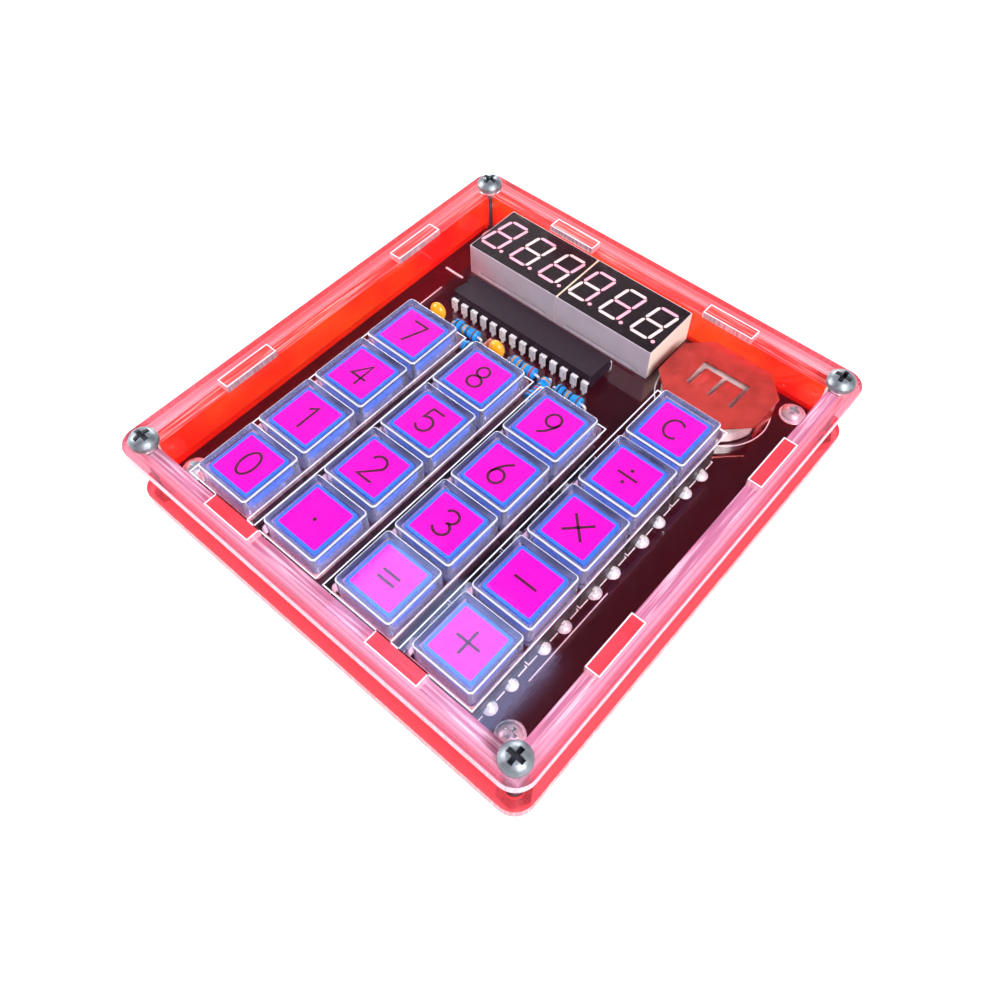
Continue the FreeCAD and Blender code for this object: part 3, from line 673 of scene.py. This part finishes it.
def build_digit(piece, x, y, low, high, pick):
    half_x, half_y = (DIGIT_WIDTH - SEGMENT_WIDTH) / 2, (DIGIT_HEIGHT - SEGMENT_WIDTH) / 2
    corners = {"tl": (-half_x, half_y), "tr": (half_x, half_y), "ml": (-half_x, 0),
               "mr": (half_x, 0), "bl": (-half_x, -half_y), "br": (half_x, -half_y)}
    for pair in ("tl tr", "ml mr", "bl br", "tl ml", "ml bl", "tr mr", "mr br"):
        outline = segment_outline(*(corners[c] for c in pair.split()))
        rings = [[(x + p.x + p.y * DIGIT_SLANT, y + p.y, z) for p in outline] for z in (low, high)]
        piece.add_faces(rings, material=pick.choice(SEGMENT_LOOKS))
    piece.dot(x + half_x + POINT_RIGHT - half_y * DIGIT_SLANT, y - half_y + POINT_UP,
              POINT_RADIUS, low, high, 2)


def build_display():
    pick = random.Random(5)
    for node in MODULES:
        low, high = box_mm(node)
        face = Piece(node.replace("module", "face"), "case", "display_grey", "display_face",
                     "segment_pale", "segment_pink")
        centre = (low + high) / 2
        top = high.z + FACE_PROUD
        face.slab(centre.x, centre.y, high.x - low.x - FACE_MARGIN_X, high.y - low.y - FACE_MARGIN_Y,
                  high.z - FACE_SUNK, top, FACE_CORNER, EASED)
        for step in (-1, 0, 1):
            build_digit(face, centre.x + step * DIGIT_PITCH - DIGITS_LEFT, centre.y, top - SUNK,
                        top + SEGMENT_PROUD, pick)
        face.done()


def build_seam():
    """The pale joint between the two modules."""
    left, right = box_mm(MODULES[0]), box_mm(MODULES[1])
    seam = Piece("display_seam", "case", "display_grey", "module_seam")
    x = (left[1].x + right[0].x) / 2
    seam.stroke([(x, left[0].y + SEAM_END), (x, left[1].y - SEAM_END)], SEAM_WIDTH,
                left[1].z - SEAM_DEPTH, left[1].z + FACE_PROUD)
    seam.done()


build_display()
build_seam()


# ---- Board: printed lines, solder, plated rings and resistor bands -------------------------
PRINT_WIDTH = 0.22
PRINT_PROUD = 0.02
PRINT_HALF = 6.25             # half the printed square round a switch
PRINT_DASH = 0.9              # half the line between a switch's pins
PRINT_CORNER = 2.0            # arms of the angle round a switch's corner
CELL_RING = (11.2, 10.2)      # half the outline round the coin cell
BOARD_LINES = (((33.8, -12), (33.8, -32), PRINT_WIDTH), ((-38.4, 27), (-34, 27), 0.5),
               ((-35.3, 15), (-35.3, 22), PRINT_WIDTH))
PIN_X, PIN_Y = 6.25, 2.5      # of a switch's pins from its middle
FILLET_RADIUS = 1.25
FILLET_HEIGHT = 0.65
FILLET_FOOT = 0.06
BOARD_SCREW_HEAD = 1.9        # head radius
RING_PROFILE = ((2.5, 0), (2.5, 0.05), (2.3, 0.07), (1.2, 0.07), (1.2, 0))
SOLDER_SUNK = 0.02
RESISTOR_AXIS = 1.3           # above the board
RESISTORS = ((-22.3, 15.6, 0), (-21.2, 12.4, 0), (-7.6, 15.6, 0), (-1.9, 13.0, 90),
             (3.6, 15.6, 0), (4.2, 12.4, 0))
BAND_PLACES = ((-2.2, 1.23, 1), (-1.0, 1.03, 0), (-0.25, 1.03, 1), (0.5, 1.03, 2), (2.2, 1.23, 0))
BAND_PROFILE = ((-0.2, -0.04), (-0.17, 0), (0.17, 0), (0.2, -0.04))    # (along, outwards)
BAND_SIDES = 24


def build_silkscreen():
    """Printed lines: round each switch, round the coin cell and at the board's sides."""
    lines = Piece("board_print", "case", "board_black", "silkscreen_white")
    low, high = BOARD_TOP - SUNK, BOARD_TOP + PRINT_PROUD
    for c in key_bases():
        for side in (-1, 1):
            x = c.x + side * PRINT_HALF
            lines.stroke([(x, c.y - PRINT_DASH), (x, c.y + PRINT_DASH)], PRINT_WIDTH, low, high)
            for end in (-1, 1):
                y = c.y + end * PRINT_HALF
                lines.stroke([(x, y - end * PRINT_CORNER), (x, y), (x - side * PRINT_CORNER, y)],
                             PRINT_WIDTH, low, high)
    cell = centre_mm("battery_cell")
    lines.stroke(ring(cell.x, cell.y, *CELL_RING, 64), PRINT_WIDTH, low, high, True)
    for start, end, width in BOARD_LINES:
        lines.stroke([start, end], width, low, high)
    lines.done()


def build_solder():
    """Bright fillets round the switch pins, and plated rings under the board's screws."""
    solder = Piece("solder_joints", "case", "tin_plate", "solder")
    base = BOARD_TOP - SOLDER_SUNK
    wobble = random.Random(11)
    for c in key_bases():
        for sx in (-1, 1):
            for sy in (-1, 1):
                r = FILLET_RADIUS + wobble.uniform(-0.1, 0.12)
                tall = FILLET_HEIGHT + wobble.uniform(-0.1, 0.15)
                solder.lathe(c.x + sx * PIN_X + wobble.uniform(-0.08, 0.08), c.y + sy * PIN_Y,
                             [(r * 1.05, base), (r, base + FILLET_FOOT),
                              (r * 0.86, base + tall * 0.55), (r * 0.6, base + tall * 0.9),
                              (r * 0.3, base + tall), (0.05, base + tall * 1.02)])
    screws = box_mm("board_screws")
    for x in (screws[0].x + BOARD_SCREW_HEAD, screws[1].x - BOARD_SCREW_HEAD):
        for y in (screws[0].y + BOARD_SCREW_HEAD, screws[1].y - BOARD_SCREW_HEAD):
            solder.lathe(x, y, [(radius, base + up) for radius, up in RING_PROFILE])
    solder.done(smooth=True)


def build_bands():
    """Painted rings round each resistor, a hair proud of its body."""
    bands = Piece("resistor_bands", "case", "resistor_blue", "band_brown", "band_black",
                  "band_red", "band_gold")
    angles = [math.radians(360 / BAND_SIDES * k) for k in range(BAND_SIDES)]
    for i, (x, y, heading) in enumerate(RESISTORS):
        turn = Matrix.Rotation(math.radians(heading), 3, "Z")
        middle = Vector((x, y, BOARD_TOP + RESISTOR_AXIS))
        for j, (offset, radius, pick) in enumerate(BAND_PLACES):
            rings = [[turn @ Vector((offset + along, (radius + out) * math.cos(a),
                                     (radius + out) * math.sin(a))) + middle for a in angles]
                     for along, out in BAND_PROFILE]
            bands.add_faces(rings, material=(pick + i + j) % 4)
    bands.done()


# ---- Painted highlight lines round the openings in the top plate ---------------------------
HIGHLIGHT_WIDTH = 0.22
HIGHLIGHT_PROUD = 0.03
HIGHLIGHT_REACH = {"left": 7.75, "right": 6.9, "front": 6.9, "back": 6.9}    # from a key's middle
TAB_RISE = 1.0                # only a wall's tabs are higher than this above the underside


# A painted highlight line round an opening of the top plate.
def highlight_outline(piece, left, right, front, back):
    low = PLATE_HIGH.z - SUNK
    outline = [(left, front), (right, front), (right, back), (left, back)]
    piece.stroke(outline, HIGHLIGHT_WIDTH, low, low + SUNK + HIGHLIGHT_PROUD, True)


def build_window_highlights():
    """A painted highlight: a fine pale raised line round each column's window, for the light its cut
    edge catches.
    """
    highlights = Piece("window_edge_highlights", "case", "clear_acrylic", "highlight_white")
    for column in COLUMNS:
        first, last = (centre_mm("key_%s_base" % key) for key in (column[0], column[-1]))
        highlight_outline(highlights, first.x - HIGHLIGHT_REACH["left"], first.x + HIGHLIGHT_REACH["right"],
            first.y - HIGHLIGHT_REACH["front"], last.y + HIGHLIGHT_REACH["back"])
    highlights.done()


def build_tab_highlights():
    """The same painted highlight line round the slots that the walls' tabs stand in, two on each
    wall.
    """
    highlights = Piece("tab_edge_highlights", "case", "clear_acrylic", "highlight_white")
    for wall, along in (("wall_front", 0), ("wall_back", 0), ("wall_left", 1), ("wall_right", 1)):
        node = frame["nodes"][wall]
        points = [node.matrix_world @ vertex.co / MM for vertex in node.data.vertices]
        tops = [p for p in points if p.z > PLATE_LOW.z + TAB_RISE]
        for side in (-1, 1):
            tab = [p for p in tops if p[along] * side > 0]
            highlight_outline(highlights, min(p.x for p in tab), max(p.x for p in tab),
                min(p.y for p in tab), max(p.y for p in tab))
    highlights.done()


build_silkscreen()
build_solder()
build_bands()
build_window_highlights()
build_tab_highlights()


# ---- Stage, light and camera, in metres except where a name says otherwise -------------------
FLOOR_HALF = 1.2
WHITE = (1, 1, 1)
# Each lamp's name, place, target, width, height, watts and colour.
LAMPS = (
    ("key_light", (0.42, -0.12, 0.42), (0, 0, 0), 0.3, 0.3, 6.0, WHITE),
    ("left_light", (-0.5, -0.2, 0.3), (0, 0, 0.01), 0.3, 0.3, 4.2, WHITE),
    ("rim_light", (-0.38, 0.5, 0.24), (0, 0, 0.02), 0.4, 0.2, 4.0, WHITE),
    ("window_light", (-0.188, 0.134, 0.6), (-0.188, 0.134, 0), 0.18, 0.10, 0.21,
     (0.42, 0.55, 1.0)),
)
# Light of the surroundings, from the horizon (0) to overhead (1).
WORLD_STOPS = ((0.08, (0.62, 0.6, 0.62, 1)), (0.55, (0.085, 0.05, 0.07, 1)))
WORLD_STRENGTH = 0.9
CAMERA_PLACE_MM = (65.05, -74.40, 143.17)
CAMERA_TARGET_MM = (12.12, -13.94, 20.0)
CAMERA_ROLL = -0.25           # degrees
SENSOR_WIDTH_MM = 36.0
LENS_MM = 32.24


def build_stage():
    """A sheet of white paper under the calculator."""
    bm = bmesh.new()
    bmesh.ops.create_grid(bm, x_segments=8, y_segments=8, size=FLOOR_HALF)
    mesh = bpy.data.meshes.new("floor")
    bm.to_mesh(mesh)
    bm.free()
    floor = bpy.data.objects.new("floor", mesh)
    bpy.context.scene.collection.objects.link(floor)
    n = Nodes("floor_paper")
    base = n.ramp(n.noise(0.02, 4), [(0.3, (0.86, 0.86, 0.87, 1)), (0.7, (0.9, 0.9, 0.9, 1))])
    n.finish(n.principled(Base_Color=base, Roughness=0.75,
                          Normal=n.bump(n.noise(1.5, 3), 0.02, 0.3)))
    mesh.materials.append(n.material)


def area_light(name, place, target, width, height, watts, colour):
    data = bpy.data.lights.new(name, "AREA")
    data.shape = "RECTANGLE"
    data.size, data.size_y, data.energy, data.color = width, height, watts, colour
    light = bpy.data.objects.new(name, data)
    light.location = place
    light.rotation_euler = (Vector(target) - Vector(place)).to_track_quat("-Z", "Y").to_euler()
    bpy.context.scene.collection.objects.link(light)


def build_lights():
    world = bpy.data.worlds.new("studio")
    bpy.context.scene.world = world
    world.use_nodes = True
    tree = world.node_tree
    coordinates = tree.nodes.new("ShaderNodeTexCoord")
    parts = tree.nodes.new("ShaderNodeSeparateXYZ")
    ramp = tree.nodes.new("ShaderNodeValToRGB")
    for element, (height, colour) in zip(ramp.color_ramp.elements, WORLD_STOPS):
        element.position, element.color = height, colour
    tree.links.new(coordinates.outputs["Generated"], parts.inputs[0])
    tree.links.new(parts.outputs["Z"], ramp.inputs["Fac"])
    tree.links.new(ramp.outputs["Color"], tree.nodes["Background"].inputs["Color"])
    tree.nodes["Background"].inputs["Strength"].default_value = WORLD_STRENGTH
    for lamp in LAMPS:
        area_light(*lamp)


def build_camera():
    data = bpy.data.cameras.new("camera")
    data.sensor_width = SENSOR_WIDTH_MM
    data.lens = LENS_MM
    data.clip_start, data.clip_end = 0.005, 10.0
    camera = bpy.data.objects.new("camera", data)
    bpy.context.scene.collection.objects.link(camera)
    place, target = Vector(CAMERA_PLACE_MM) * MM, Vector(CAMERA_TARGET_MM) * MM
    turn = (target - place).to_track_quat("-Z", "Y").to_matrix()
    roll = Matrix.Rotation(math.radians(CAMERA_ROLL), 3, "Z")
    camera.matrix_world = Matrix.Translation(place) @ (turn @ roll).to_4x4()
    bpy.context.scene.camera = camera


build_stage()
build_lights()
build_camera()
bpy.context.scene.view_settings.view_transform = "Standard"

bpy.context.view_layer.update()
import json
